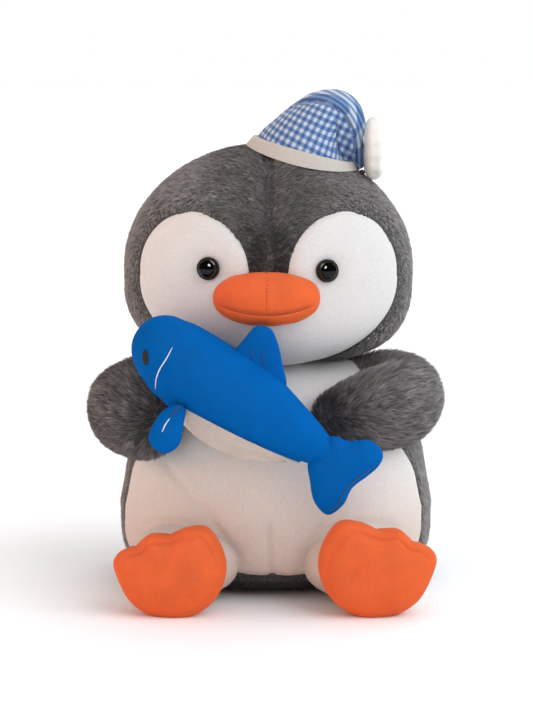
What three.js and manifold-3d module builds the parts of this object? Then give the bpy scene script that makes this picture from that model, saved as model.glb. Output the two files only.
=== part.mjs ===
// Plush penguin sitting with its legs forward, hugging a small stuffed whale and wearing a nightcap.
// Millimetres, +Z up, the penguin looks along -Y, +X is on the right of someone facing it.
// Every sewn cover is an open shell of cloth, and the fill inside it is a solid of its own.
import * as THREE from "three";
import { mergeVertices } from "three/addons/utils/BufferGeometryUtils.js";
import Module from "manifold-3d";

const wasm = await Module();
wasm.setup();

// ---- Driving dimensions ----

const GAP = 0.4; // clear distance between touching pieces
const END_FULLNESS = 3; // 2 ends a limb as an ellipse does, more ends it blunter
const FUR = 3.2; // fur cloth with its pile pressed flat
const CLOTH = 1.8; // short-pile cloth of the belly, face, beak and feet

const HEAD = {
  centre: [0, 0, 170.5], width: 156, front: 64, back: 64, up: 68.5, down: 52.5, topPower: 2, basePower: 3.2,
};
const TORSO = {
  centre: [4, 0, 42], width: 174, front: 72, back: 70, up: 70, down: 43.5, topPower: 2, basePower: 4.7,
};
const HEAD_ROLL = THREE.MathUtils.degToRad(1.2);
const CHEST_SLOPE = 0.18; // how far the chest falls back by the top of the torso
const BELLY_EDGE_Y = -27; // the side seam of the belly cloth
const BELLY_HEM_Z = 7;

const FACE = {
  lobeX: 39.5, lobeZ: 172, lobeWidth: 57, lobeHeight: 64, chinWidth: 134, chinZ: 158, chinDepth: 42,
};
const EYE = {
  x: 31, z: 175, radius: 6, dome: 4.6, shankRadius: 2.1, shankLength: 15, washerRadius: 8, washer: 1.6,
};
const BEAK = { centre: [-1, -62, 161.5], width: 56, height: 28.6, depth: 18.5, mouthZ: 155.5 };

const NECK = { centre: [0, 0, 114], radius: 16 };
const SHOULDER = { x: 48, y: 0, z: 102, radius: 17, swing: 30 };
const HIP = { x: 46, y: -52, z: 26, radius: 25, swing: 15 };
const SOCKET_ROOM = 2; // how much wider a socket is than the ball that turns in it
const SWING_STEP = 5; // degrees between the positions that a swinging limb is cleared at
const MIDDLE_X = 1; // the middle plane between the two arms and the two legs
const ARM_TIP = { left: 46, right: 30 }; // how near the middle each hand reaches

const FOOT = { x: 54, y: -90, width: 60, height: 50, thickness: 26, toeOut: 16 };

const CAP = { base: [17, 0, 229], lean: 15, radius: 29, bandHeight: 8, bandWall: 3 };
const POMPOM = { centre: [57.2, -1, 234], thickness: 11, diameter: 33 };

const WHALE = {
  head: [-71, -76, 140.5], tail: [24, -88, 82], depthShare: 0.84, bellySlope: 0.386,
  eye: [-63, 134], mouth: [[-47.5, 140], [-51.5, 131], [-55, 124.5], [-56, 118]],
};
const FLAP = { pivot: [-43.5, -97, 109.5], axis: [0.84, 0, -0.54], swing: 30 }; // the near flipper's stitched edge

const COLOURS = {
  greyFur: 0x5c5a5e, white: 0xece8e4, fill: 0xf5f3ee, orange: 0xeb6432, black: 0x0b0908, nylon: 0xd8d8d8,
  blue: 0x0064c8, whaleWhite: 0xe4dcd2, gingham: 0x8fb0e0, cream: 0xe6e0d4, thread: 0xf0f0f0,
};

// ---- Solids: joining and cutting ----

function solidOf(geometry) {
  const plain = geometry.index ? geometry : geometry.clone();
  plain.deleteAttribute("normal");
  plain.deleteAttribute("uv");
  const merged = mergeVertices(plain, 1e-3);
  return new wasm.Manifold(new wasm.Mesh({
    numProp: 3,
    vertProperties: new Float32Array(merged.attributes.position.array),
    triVerts: new Uint32Array(merged.index.array),
  }));
}

function geometryOf(solid) {
  const mesh = solid.getMesh();
  const geometry = new THREE.BufferGeometry();
  geometry.setAttribute("position", new THREE.BufferAttribute(mesh.vertProperties, 3));
  geometry.setIndex(new THREE.BufferAttribute(mesh.triVerts, 1));
  return geometry;
}

function block(low, high) {
  const size = high.map((value, i) => value - low[i]);
  const box = new THREE.BoxGeometry(...size);
  box.translate(...low.map((value, i) => value + size[i] / 2));
  return solidOf(box);
}

function ball(centre, radius, segments = 12) {
  const sphere = new THREE.SphereGeometry(radius, segments, segments / 2);
  sphere.translate(...centre);
  return solidOf(sphere);
}

// A flat outline in x and z, given thickness along y and rounded edges.
function plate(shape, middleY, thickness, edge, steps = 5) {
  const geometry = new THREE.ExtrudeGeometry(shape, {
    depth: thickness - 2 * edge, bevelThickness: edge, bevelSize: edge, bevelOffset: -edge, bevelSegments: 1,
    curveSegments: steps,
  });
  geometry.translate(0, 0, edge - thickness / 2);
  geometry.rotateX(Math.PI / 2);
  geometry.translate(0, middleY, 0);
  return solidOf(geometry);
}

// ---- Round stuffed forms ----

// A stuffed ball: elliptical in plan, with its own height and fullness above and below its widest level.
function roundForm(form, inset = 0, segments = 18, rings = 10) {
  const geometry = new THREE.SphereGeometry(1, segments, rings);
  geometry.rotateX(Math.PI / 2);
  const place = geometry.attributes.position;
  for (let i = 0; i < place.count; i += 1) {
    const x = place.getX(i);
    const y = place.getY(i);
    const z = place.getZ(i);
    const power = z < 0 ? form.basePower : form.topPower;
    const reach = (Math.hypot(x, y) ** power + Math.abs(z) ** power) ** (-1 / power);
    const depth = y < 0 ? form.front : form.back;
    const height = z < 0 ? form.down : form.up;
    place.setXYZ(
      i,
      form.centre[0] + x * reach * (form.width / 2 - inset),
      form.centre[1] + y * reach * (depth - inset),
      form.centre[2] + z * reach * (height - inset),
    );
  }
  return geometry;
}

// A stuffed limb: round sections of changing size strung along a curve, closed and rounded at both ends.
function limbForm(limb, inset = 0) {
  const geometry = new THREE.SphereGeometry(1, limb.sides, limb.rings);
  const place = geometry.attributes.position;
  const up = new THREE.Vector3(0, 0, 1);
  for (let i = 0; i < place.count; i += 1) {
    const polar = Math.min(1, Math.max(-1, place.getY(i)));
    const along = (1 - polar) / 2;
    const around = Math.atan2(place.getZ(i), place.getX(i));
    const ring = Math.max(0, 1 - Math.abs(polar) ** END_FULLNESS) ** (1 / END_FULLNESS);
    const tangent = limb.curve.getTangent(along);
    const side = new THREE.Vector3().crossVectors(tangent, up).normalize();
    const rise = new THREE.Vector3().crossVectors(side, tangent);
    const point = limb.curve.getPoint(along).addScaledVector(tangent, inset * (1 - 2 * along));
    point.addScaledVector(side, -Math.cos(around) * ring * (limb.halfWidth(along) - inset));
    point.addScaledVector(rise, Math.sin(around) * ring * (limb.halfHeight(along) - inset));
    place.setXYZ(i, point.x, point.y, point.z);
  }
  return geometry;
}

// A smooth value between evenly spaced stations.
function stations(values) {
  const curve = new THREE.SplineCurve(values.map((value, i) => new THREE.Vector2(i, value)));
  return (along) => curve.getPoint(along).y;
}

function curveThrough(points) {
  return new THREE.CatmullRomCurve3(points.map((point) => new THREE.Vector3(...point)));
}

// ---- Meshes ----

function piece(name, solid, colour, roughness = 0.95) {
  const material = new THREE.MeshStandardMaterial({ color: colour, roughness, metalness: 0 });
  const mesh = new THREE.Mesh(geometryOf(solid), material);
  mesh.name = name;
  return mesh;
}

// ---- Head ----

function headSolid(inset = 0) {
  const geometry = roundForm(HEAD, inset);
  geometry.translate(0, 0, -HEAD.centre[2]);
  geometry.rotateY(HEAD_ROLL);
  geometry.translate(0, 0, HEAD.centre[2]);
  return solidOf(geometry);
}

function ellipse(x, z, width, height) {
  const shape = new THREE.Shape();
  shape.absellipse(x, z, width / 2, height / 2, 0, 2 * Math.PI);
  return shape;
}

// The white of the face: a round lobe about each eye, and the cheeks and chin below the beak.
function faceRegion(grow = 0) {
  const front = -40;
  const depth = 80;
  const lobe = (x) => plate(ellipse(x, FACE.lobeZ, FACE.lobeWidth + 2 * grow, FACE.lobeHeight + 2 * grow),
    front, depth, 0.5, 6);
  const chin = plate(ellipse(0, FACE.chinZ, FACE.chinWidth + 2 * grow, 2 * (FACE.chinDepth + grow)),
    front, depth, 0.5, 7);
  const low = block([-90, -90, 100], [90, 0, FACE.lobeZ - 6 + grow]);
  return lobe(-FACE.lobeX).add(lobe(FACE.lobeX)).add(chin.intersect(low));
}

function eyeProfile(grow) {
  const dome = [];
  const steps = 3;
  for (let i = 0; i <= steps; i += 1) {
    const turn = (i / steps) * (Math.PI / 2);
    dome.push(new THREE.Vector2(
      (EYE.radius + grow) * Math.sin(turn),
      (EYE.dome + grow) * Math.cos(turn),
    ));
  }
  return [
    ...dome,
    new THREE.Vector2(EYE.radius + grow, -1 - grow),
    new THREE.Vector2(EYE.shankRadius + grow, -1 - grow),
    new THREE.Vector2(EYE.shankRadius + grow, -EYE.shankLength - grow),
    new THREE.Vector2(0, -EYE.shankLength - grow),
  ].reverse();
}

// Turned parts of the eye face out along the head's surface at the eye.
function placeOnFace(geometry, side) {
  const x = side * EYE.x;
  const lift = -side * EYE.x * Math.sin(HEAD_ROLL);
  const share = Math.hypot(x / (HEAD.width / 2), (EYE.z - HEAD.centre[2]) / HEAD.up);
  const y = -HEAD.front * Math.sqrt(1 - share * share);
  const turn = Math.atan2(x / (HEAD.width / 2) ** 2, -y / HEAD.front ** 2);
  geometry.rotateZ(turn);
  geometry.translate(x, y, EYE.z + lift);
  return geometry;
}

function eyeSolid(side, grow = 0) {
  const geometry = new THREE.LatheGeometry(eyeProfile(grow), 12);
  geometry.rotateZ(Math.PI);
  return solidOf(placeOnFace(geometry, side));
}

function washerSolid(side, grow = 0) {
  const bore = EYE.shankRadius + GAP - grow;
  const rim = EYE.washerRadius + grow;
  const half = EYE.washer / 2 + grow;
  const profile = [[bore, -half], [rim, -half], [rim, half], [bore, half], [bore, -half]];
  const geometry = new THREE.LatheGeometry(profile.map((point) => new THREE.Vector2(...point)), 8);
  geometry.translate(0, -FUR - 6, 0);
  geometry.rotateZ(Math.PI);
  return solidOf(placeOnFace(geometry, side));
}

function beakSolid(inset = 0) {
  const form = {
    centre: BEAK.centre, width: BEAK.width, front: BEAK.depth, back: BEAK.depth,
    up: BEAK.height / 2, down: BEAK.height / 2, topPower: 2.3, basePower: 2.3,
  };
  return solidOf(roundForm(form, inset, 16, 8));
}

function headPieces() {
  const neckHole = ball(NECK.centre, NECK.radius + 1);
  const shell = headSolid().subtract(headSolid(FUR)).subtract(neckHole);
  const eyes = eyeSolid(-1, GAP).add(eyeSolid(1, GAP));
  const washers = washerSolid(-1, GAP).add(washerSolid(1, GAP));
  const cover = shell.subtract(eyes);
  const fill = headSolid(FUR + GAP).subtract(neckHole).subtract(eyes).subtract(washers);
  const beakRoom = headSolid(-GAP);
  const beakShell = beakSolid().subtract(beakSolid(CLOTH)).subtract(beakRoom);
  const above = block([-60, -120, BEAK.mouthZ + GAP / 2], [60, 0, 200]);
  const below = block([-60, -120, 100], [60, 0, BEAK.mouthZ - GAP / 2]);
  return [
    piece("head_fur", cover.subtract(faceRegion(GAP)), COLOURS.greyFur),
    piece("face_panel", cover.intersect(faceRegion()), COLOURS.white),
    piece("head_stuffing", fill, COLOURS.fill),
    piece("beak_upper", beakShell.intersect(above), COLOURS.orange, 0.85),
    piece("beak_lower", beakShell.intersect(below), COLOURS.orange, 0.85),
    piece("beak_stuffing", beakSolid(CLOTH + GAP).subtract(beakRoom), COLOURS.fill),
    piece("eye_left", eyeSolid(-1), COLOURS.black, 0.1),
    piece("eye_right", eyeSolid(1), COLOURS.black, 0.1),
    piece("eye_washer_left", washerSolid(-1), COLOURS.nylon, 0.5),
    piece("eye_washer_right", washerSolid(1), COLOURS.nylon, 0.5),
  ];
}

// ---- Torso ----

function torsoSolid(inset = 0) {
  const geometry = roundForm(TORSO, inset);
  const place = geometry.attributes.position;
  for (let i = 0; i < place.count; i += 1) {
    const rise = Math.max(0, (place.getZ(i) - TORSO.centre[2]) / TORSO.up);
    if (place.getY(i) < 0) place.setY(i, place.getY(i) * (1 - CHEST_SLOPE * rise));
    place.setZ(i, Math.max(place.getZ(i), inset));
  }
  return solidOf(geometry);
}

function mirrored(point, side) {
  return [MIDDLE_X + side * point.x, point.y, point.z];
}

function torsoPieces(whaleRoom) {
  let sockets = ball(NECK.centre, NECK.radius + GAP);
  for (const side of [-1, 1]) {
    sockets = sockets.add(ball(mirrored(SHOULDER, side), SHOULDER.radius + SOCKET_ROOM, 16));
    sockets = sockets.add(ball(mirrored(HIP, side), HIP.radius + SOCKET_ROOM, 16));
  }
  const shell = torsoSolid().subtract(torsoSolid(FUR)).subtract(sockets).subtract(whaleRoom);
  const bellySide = block([-120, -120, BELLY_HEM_Z], [120, BELLY_EDGE_Y - GAP, 140]);
  const backSide = block([-120, BELLY_EDGE_Y, -10], [120, 120, 140]);
  const hem = block([-120, -120, -10], [120, BELLY_EDGE_Y + 1, BELLY_HEM_Z - GAP]);
  return [
    piece("body_fur", shell.intersect(backSide.add(hem)), COLOURS.greyFur),
    piece("belly_panel", shell.intersect(bellySide), COLOURS.white),
    piece("body_stuffing", torsoSolid(FUR + GAP).subtract(sockets).subtract(whaleRoom), COLOURS.fill),
    piece("neck_stuffing", ball(NECK.centre, NECK.radius), COLOURS.fill),
  ];
}

// ---- Arms ----

// The space that a neighbour needs as a limb swings outwards about its upright axis.
function roomForSwing(neighbour, joint, side) {
  const [x, y] = mirrored(joint, side);
  let room = neighbour;
  for (let angle = SWING_STEP; angle <= joint.swing; angle += SWING_STEP) {
    const turned = neighbour.translate([-x, -y, 0]).rotate([0, 0, -side * angle]);
    room = room.add(turned.translate([x, y, 0]));
  }
  return room;
}

function armSolid(side, inset = 0) {
  const tip = side < 0 ? ARM_TIP.left : ARM_TIP.right;
  const path = [
    [SHOULDER.x - SHOULDER.radius, SHOULDER.y + 2, SHOULDER.z + 2],
    [62, -9, 104],
    [71, -34, 102],
    [(71 + tip) / 2 + 4, -54, 98],
    [tip, -60, 94],
  ];
  const curve = curveThrough(path.map(([x, y, z]) => [MIDDLE_X + side * x, y, z]));
  const halfWidth = stations([17, 21, 23, 20, 17]);
  const halfHeight = stations([17, 23, 27, 27, 23]);
  return solidOf(limbForm({ curve, halfWidth, halfHeight, sides: 12, rings: 9 }, inset));
}

function armPieces(side, name, whaleRoom) {
  const pivot = mirrored(SHOULDER, side);
  const torsoRoom = roomForSwing(torsoSolid(-1), SHOULDER, side).subtract(ball(pivot, SHOULDER.radius));
  const clear = torsoRoom.add(roomForSwing(whaleRoom, SHOULDER, side));
  const outer = armSolid(side).add(ball(pivot, SHOULDER.radius)).subtract(clear);
  const hollow = armSolid(side, FUR).add(ball(pivot, SHOULDER.radius - FUR));
  return [
    piece(`arm_fur_${name}`, outer.subtract(hollow), COLOURS.greyFur),
    piece(`arm_stuffing_${name}`, armSolid(side, FUR + GAP).subtract(clear), COLOURS.fill),
  ];
}

// ---- Legs and feet ----

function legSolid(side, inset = 0) {
  const curve = curveThrough([[HIP.x - 2, -38, 26], [HIP.x + 2, -60, 26], [FOOT.x - 3, -86, 25]]
    .map(([x, y, z]) => [MIDDLE_X + side * x, y, z]));
  const half = stations([16, 22, 23]);
  return solidOf(limbForm({ curve, halfWidth: half, halfHeight: half, sides: 12, rings: 4 }, inset));
}

// The foot is a thick round cushion with three toes along its upper outer edge.
function footSolid(side, inset = 0) {
  const toes = [15, 62, 112].map((angle) => THREE.MathUtils.degToRad(angle));
  const geometry = new THREE.SphereGeometry(1, 22, 6);
  const place = geometry.attributes.position;
  for (let i = 0; i < place.count; i += 1) {
    const x = place.getX(i);
    const z = place.getY(i);
    const y = place.getZ(i);
    const angle = Math.atan2(z, x);
    let lobe = 0;
    for (const toe of toes) lobe += Math.exp(-(((angle - toe) / 0.3) ** 2));
    const span = 1 + 0.07 * lobe - 0.03;
    const reach = (Math.hypot(x, z) ** 3 + Math.abs(y) ** 3) ** (-1 / 3);
    const out = side * x * reach * span * (FOOT.width / 2 - inset);
    const rise = z * reach * span * (FOOT.height / 2 - inset);
    const deep = y * reach * (FOOT.thickness / 2 - inset);
    place.setXYZ(i, out, deep, rise);
  }
  if (side > 0) geometry.index.array.reverse();
  geometry.rotateZ(side * THREE.MathUtils.degToRad(FOOT.toeOut));
  geometry.translate(MIDDLE_X + side * FOOT.x, FOOT.y, FOOT.height / 2 - 1.5);
  for (let i = 0; i < place.count; i += 1) place.setZ(i, Math.max(place.getZ(i), inset));
  return solidOf(geometry);
}

function halfOfFoot(side, front) {
  const thick = new THREE.BoxGeometry(200, 100, 200);
  thick.translate(0, front ? -50 - GAP / 2 : 50 + GAP / 2, 0);
  thick.rotateZ(side * THREE.MathUtils.degToRad(FOOT.toeOut));
  thick.translate(MIDDLE_X + side * FOOT.x, FOOT.y, 0);
  return solidOf(thick);
}

function legPieces(side, name) {
  const pivot = mirrored(HIP, side);
  const torsoRoom = roomForSwing(torsoSolid(-1), HIP, side).subtract(ball(pivot, HIP.radius));
  const clear = torsoRoom.add(footSolid(side, -GAP));
  const limb = (inset) => legSolid(side, inset).add(ball(pivot, HIP.radius - inset));
  const floor = block([-200, -200, -50], [200, 200, 0.6]);
  const shell = footSolid(side).subtract(footSolid(side, CLOTH));
  const cover = limb(0).subtract(clear).subtract(floor).subtract(legSolid(side, CLOTH));
  return [
    piece(`leg_cover_${name}`, cover, COLOURS.white),
    piece(`leg_stuffing_${name}`, legSolid(side, CLOTH + GAP).subtract(clear).subtract(floor), COLOURS.fill),
    piece(`foot_sole_${name}`, shell.intersect(halfOfFoot(side, true)), COLOURS.orange),
    piece(`foot_upper_${name}`, shell.intersect(halfOfFoot(side, false)), COLOURS.orange),
    piece(`foot_stuffing_${name}`, footSolid(side, CLOTH + GAP), COLOURS.fill),
  ];
}

// ---- Nightcap ----

function leanedCap(geometry) {
  geometry.rotateY(THREE.MathUtils.degToRad(CAP.lean));
  geometry.translate(...CAP.base);
  return solidOf(geometry);
}

function capBand(grow = 0) {
  const outer = CAP.radius + CAP.bandWall / 2 + grow;
  const inner = CAP.radius - CAP.bandWall / 2 - grow;
  const rim = CAP.bandHeight / 2;
  const foot = -18; // well inside the head, which cuts it off
  const profile = [[inner, foot], [outer, foot], [outer, rim], [inner, rim], [inner, foot]];
  const geometry = new THREE.LatheGeometry(profile.map((point) => new THREE.Vector2(...point)), 18);
  geometry.rotateX(Math.PI / 2);
  return leanedCap(geometry);
}

function capCone(inset = 0) {
  const curve = curveThrough([
    [10, 0, 200], [17, 0, 230], [27, 0, 249], [39, -1, 255], [47, -1, 247], [51, -1, 231],
  ]);
  const half = stations([26, 27, 19, 11.5, 8, 3.8]);
  return solidOf(limbForm({ curve, halfWidth: half, halfHeight: half, sides: 12, rings: 10 }, inset));
}

function pompomSolid(grow = 0) {
  const puff = new THREE.SphereGeometry(1, 12, 6);
  const radius = POMPOM.diameter / 2 + grow;
  puff.scale(POMPOM.thickness / 2 + grow, radius, radius);
  puff.translate(...POMPOM.centre);
  return solidOf(puff);
}

function capPieces() {
  const headRoom = headSolid(-GAP);
  const top = new THREE.BoxGeometry(200, 200, 200);
  top.translate(0, 0, 100 + CAP.bandHeight / 2 + GAP);
  const aboveBand = leanedCap(top);
  const band = capBand().subtract(headRoom);
  const cone = capCone().intersect(aboveBand).subtract(headRoom);
  const lining = capCone(CLOTH).subtract(headRoom);
  const knot = ball([50.4, -6, 222], 2.4, 6).subtract(headRoom).subtract(capBand(GAP));
  return [
    piece("hat_band", band, COLOURS.cream),
    piece("hat_cone", cone.subtract(lining).subtract(pompomSolid(0.5)), COLOURS.gingham),
    piece("hat_pompom", pompomSolid().subtract(headRoom), COLOURS.white),
    piece("hat_tack_knot", knot, COLOURS.black),
  ];
}

// ---- Whale ----

const whaleAxis = new THREE.LineCurve3(new THREE.Vector3(...WHALE.head), new THREE.Vector3(...WHALE.tail));
const whaleRise = stations([25, 22.4, 24.2, 25, 23.5, 20, 15]);

function whaleSolid(inset = 0) {
  const halfWidth = (along) => WHALE.depthShare * whaleRise(along);
  const limb = { curve: whaleAxis, halfWidth, halfHeight: whaleRise, sides: 14, rings: 9 };
  return solidOf(limbForm(limb, inset));
}

function outlineOf(points) {
  const shape = new THREE.Shape();
  shape.setFromPoints(new THREE.SplineCurve(points.map(([x, z]) => new THREE.Vector2(x, z))).getPoints(18));
  return shape;
}

function flatPiece(points, middleY, thickness, edge) {
  return plate(outlineOf([...points, points[0]]), middleY, thickness, edge);
}

function whaleBellySide() {
  const under = new THREE.BoxGeometry(300, 200, 100);
  under.translate(0, 0, -50);
  under.rotateY(WHALE.bellySlope);
  under.translate(-16, WHALE.head[1], 89);
  return solidOf(under);
}

function whaleFlipper(points) {
  const halfWidth = () => 3.6;
  const halfHeight = stations([5, 10, 10]);
  return solidOf(limbForm({ curve: curveThrough(points), halfWidth, halfHeight, sides: 12, rings: 8 }));
}

// The space that the whale's flank needs as the near flipper lifts away from it.
function roomForFlap(flank) {
  const [x, y, z] = FLAP.pivot;
  const axis = new THREE.Vector3(...FLAP.axis).normalize();
  let room = flank;
  for (let angle = SWING_STEP; angle <= FLAP.swing; angle += SWING_STEP) {
    const turn = new THREE.Matrix4().makeRotationAxis(axis, -THREE.MathUtils.degToRad(angle));
    room = room.add(flank.translate([-x, -y, -z]).transform(turn.elements).translate([x, y, z]));
  }
  return room;
}

// A spot on the whale's flank, straight in front of or behind the point x, z.
function flankY(x, z, facing) {
  const start = new THREE.Vector3(...WHALE.head);
  const axis = new THREE.Vector3(...WHALE.tail).sub(start);
  const flat = new THREE.Vector3(axis.x, 0, axis.z);
  const offset = new THREE.Vector3(x - start.x, 0, z - start.z);
  const along = offset.dot(flat) / flat.lengthSq();
  const across = offset.addScaledVector(flat, -along).length();
  const ring = (1 - Math.abs(1 - 2 * along) ** END_FULLNESS) ** (1 / END_FULLNESS);
  const tall = whaleRise(along) * ring;
  const deep = tall * WHALE.depthShare * Math.sqrt(Math.max(0, 1 - (across / tall) ** 2));
  return start.y + along * axis.y + facing * deep;
}

function whaleEye(facing) {
  const oval = new THREE.SphereGeometry(1, 10, 6);
  oval.scale(2.2, 2.4, 4.2);
  const [x, z] = WHALE.eye;
  oval.translate(x, flankY(x, z, facing), z);
  return solidOf(oval);
}

function whaleMouthThread(facing) {
  const points = WHALE.mouth.map(([x, z]) => new THREE.Vector3(x, flankY(x, z, facing) + facing * 1.2, z));
  const section = ellipse(0, 0, 1.1, 1.1);
  const path = new THREE.CatmullRomCurve3(points);
  return solidOf(new THREE.ExtrudeGeometry(section, { steps: 6, extrudePath: path, curveSegments: 3 }));
}

function whalePieces() {
  const shell = whaleSolid().subtract(whaleSolid(CLOTH));
  const clear = whaleSolid(-GAP);
  const under = whaleBellySide();
  const fluke = flatPiece(
    [[22, 77], [33, 88], [46, 88], [58, 81], [54, 71], [43, 61], [36, 50], [29, 47.5], [22, 53], [20, 66]],
    WHALE.tail[1], 12, 4,
  );
  const fin = flatPiece(
    [[-20, 132], [-12, 143], [-4, 149], [0, 143], [5, 132], [9, 115], [-5, 115]],
    WHALE.head[1] - 4.5, 7, 1.5,
  );
  const near = whaleFlipper([[-43.5, -100, 110], [-47, -102, 101], [-54, -100, 86.5]]);
  const far = whaleFlipper([[-44, -57, 110], [-36, -55, 117], [-27, -54, 126]]);
  return [
    piece("whale_back", shell.subtract(under), COLOURS.blue, 0.85),
    piece("whale_belly", shell.intersect(under.translate([0, 0, -GAP])), COLOURS.whaleWhite, 0.9),
    piece("whale_stuffing", whaleSolid(CLOTH + GAP), COLOURS.fill),
    piece("whale_fluke", fluke.subtract(clear), COLOURS.blue, 0.85),
    piece("whale_dorsal_fin", fin.subtract(clear), COLOURS.blue, 0.85),
    piece("whale_flipper_near", near.subtract(roomForFlap(clear)), COLOURS.blue, 0.85),
    piece("whale_flipper_far", far.subtract(clear), COLOURS.blue, 0.85),
    piece("whale_eye_near", whaleEye(-1).subtract(clear), COLOURS.black, 0.7),
    piece("whale_eye_far", whaleEye(1).subtract(clear), COLOURS.black, 0.7),
    piece("whale_mouth_near", whaleMouthThread(-1).subtract(clear), COLOURS.thread),
    piece("whale_mouth_far", whaleMouthThread(1).subtract(clear), COLOURS.thread),
  ];
}

// ---- Assembly ----

const penguin = new THREE.Group();
const whaleRoom = whaleSolid(-1);
penguin.add(...headPieces());
penguin.add(...torsoPieces(whaleRoom));
penguin.add(...armPieces(-1, "left", whaleRoom), ...armPieces(1, "right", whaleRoom));
penguin.add(...legPieces(-1, "left"), ...legPieces(1, "right"));
penguin.add(...capPieces());
penguin.add(...whalePieces());

// The origin is on the floor, below the middle of the whole toy.
const bounds = new THREE.Box3().setFromObject(penguin);
const middle = bounds.getCenter(new THREE.Vector3());
penguin.position.set(-middle.x, -middle.y, -bounds.min.z);

export default penguin;
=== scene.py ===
"""Looks of the plush penguin that hugs a small stuffed whale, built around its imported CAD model.

Shapes are worked out in millimetres from the floor under the middle of the face (+Z up, the penguin
looks along -Y), and to_frame turns them into the frame's metres.
"""
import math

import bpy
import numpy as np
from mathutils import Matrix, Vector
from mathutils.bvhtree import BVHTree
from mathutils.kdtree import KDTree


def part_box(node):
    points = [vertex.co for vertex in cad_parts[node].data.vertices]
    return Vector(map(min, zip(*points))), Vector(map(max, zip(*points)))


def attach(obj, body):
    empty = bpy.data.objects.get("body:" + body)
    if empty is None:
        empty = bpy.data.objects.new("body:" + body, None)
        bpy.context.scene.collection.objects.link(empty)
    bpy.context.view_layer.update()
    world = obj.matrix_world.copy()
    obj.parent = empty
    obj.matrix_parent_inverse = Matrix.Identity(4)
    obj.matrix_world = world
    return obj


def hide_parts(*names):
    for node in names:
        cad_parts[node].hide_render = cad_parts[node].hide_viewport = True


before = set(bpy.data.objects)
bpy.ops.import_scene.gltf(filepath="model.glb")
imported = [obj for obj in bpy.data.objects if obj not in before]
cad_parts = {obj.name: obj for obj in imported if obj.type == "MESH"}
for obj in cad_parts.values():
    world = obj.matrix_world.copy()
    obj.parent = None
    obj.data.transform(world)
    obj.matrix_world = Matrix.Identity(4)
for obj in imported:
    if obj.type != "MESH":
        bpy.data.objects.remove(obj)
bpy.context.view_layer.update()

# ---- Driving sizes, millimetres and degrees ----

MM = 0.001
NECK_CENTRE = (0, 0, 114)  # the neck_stuffing node, a ball, has its middle here

HEAD = dict(centre=(0, 0, 170.5), width=160.5, front=64, back=64, up=68.5, down=52.5, top_power=2,
            base_power=3.2)
HEAD_ROLL = math.radians(1.2)
TORSO = dict(centre=(4, 0, 42), width=174, front=72, back=70, up=82, down=43.5, top_power=3, base_power=4.7)
WAIST = 0.2  # how far the sides draw in half way up to the shoulders
CHEST_SLOPE = 0.18
BELLY_EDGE_Y = -25
BELLY_TOP_BACK = 30  # the white reaches this much further back where the chin rests on it
BELLY_HEM_Z = 13

FACE = dict(lobe_x=40.4, lobe_z=172.5, lobe_width=59.8, lobe_height=66, chin_z=169, chin_width=141,
            chin_depth=51)
EYES = ((-31.6, 175.9), (30.6, 174.8))
EYE_RADIUS = 6.2
BEAK = dict(centre=(-1, -62, 160.9), width=56, front=18.5, back=18.5, up=13.7, down=14.3, top_power=2.35,
            base_power=2.2)
MOUTH_Z = 154.2
MOUTH_RISE = 4.5  # the corners of the mouth lie this much higher than its middle
MOUTH_HALF = 26

THIGH_CREASES = (((-60.7, 75.8), (-35, 48.5), (-22.4, 31.8), (-13.8, 19.6)),
                 ((44, 62), (29.2, 45), (22.9, 31.8), (20, 19.6)))

PAINTED_GLOW_LOW = 8  # painted warm glow, standing in for light bounced off the orange feet onto the white cloth; it fades out between these heights
PAINTED_GLOW_HIGH = 75

MIDDLE_X = 1
ARM_ELBOWS = {-1: 77, 1: 71.5}
ARM_DROPS = {-1: 4, 1: 0}
ARM_WIDTH = (17, 21, 22, 20, 17)
ARM_HEIGHT = (17, 21, 23.5, 23.5, 20)
ARM_TIPS = {-1: 46, 1: 22}  # here and below, -1 is the side at -X and 1 the side at +X
LEG_PATH = ((44, -34, 22), (45, -60, 20.5), (50, -91, 21))
LEG_WIDTH = (29, 30, 24)
LEG_HEIGHT = (22, 19.5, 17)
FOOT = dict(y=-94, thickness=24, toe_out=5)
FOOT_X = {-1: 51.8, 1: 55}
FOOT_Z = {-1: 22.6, 1: 24.3}
FOOT_SCALE = {-1: 0.965, 1: 1.01}
FOOT_OUTLINE = ((30, 1.5), (29.2, 8.3), (24, 12.2), (18, 14.2), (11, 20.4), (0, 20.8), (-9.5, 24.6),
                (-20.3, 24), (-28.9, 10.7), (-29.4, -3.5), (-21.8, -17), (-7.5, -25.2), (8, -24.6),
                (22, -16))

CAP_CENTRE = (17.3, 0, 227.8)
CAP_LEAN = math.radians(15)
CAP_RADIUS = 28
CAP_BAND_RISE = 7
CAP_BAND_SINK = 1.6
# The band's cross-section: distance out from the rim, and share of its height.
BAND_PROFILE = ((3.2, 0), (1.6, 0.5), (0.4, 0.9), (-0.8, 1), (-2, 0.9), (-2.2, 0.5), (-2.2, 0))
CONE_PATH = ((17, 0, 228), (19, 0, 235), (23.5, 0, 244), (30, 0, 251), (37, 0, 253), (41, 0, 247.5),
             (42, 0, 239), (44, 0, 231), (48.5, 0, 223))
CONE_RADII = (27.5, 24.5, 18.5, 14, 12, 11, 9.5, 7, 2.5)
CONE_DEPTHS = (27.5, 26.5, 23, 18.5, 14, 11.5, 9.5, 7, 2.5)
FOLD_EDGE = ((-5, 245), (3, 251.5), (12, 257), (21, 260), (30, 259.5), (38.5, 254.5), (43.5, 247),
             (46, 239), (46.5, 231))
GINGHAM_CHECK = 2.1
THREAD_WIDTH = 0.16
CLOTH_BIAS = math.radians(12)
POMPOM = dict(centre=(57.2, -1, 234), thickness=11, diameter=33.5, power=3.4)

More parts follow.
